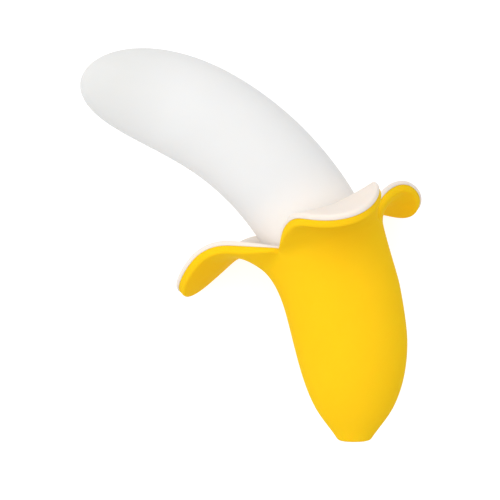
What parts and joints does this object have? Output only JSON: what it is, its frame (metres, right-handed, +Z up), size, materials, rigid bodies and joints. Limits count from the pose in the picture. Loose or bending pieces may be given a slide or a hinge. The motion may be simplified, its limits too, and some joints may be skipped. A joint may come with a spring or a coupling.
{
  "type": "moulded peeled banana (soft plastic copy)",
  "caption": "Smooth moulded copy of a peeled banana: curved white fruit standing in a yellow peel whose petals fold back, lying on its side.",
  "frame": {"origin": "centre of the bounding box's footprint, on the surface that the banana lies on", "axes": "+Z up from the surface; +Y from the stem's cut end towards the mouth of the peel; the fruit bends towards -X"},
  "size_m": [0.1316, 0.152, 0.0888],
  "materials": {
    "white_fruit": "soft matte",
    "peel_lining": "soft matte",
    "yellow_peel": "soft satin"
  },
  "bodies": {
    "root": {"fruit": "white_fruit", "lining": "peel_lining", "peel": "yellow_peel"}
  },
  "joints": []
}
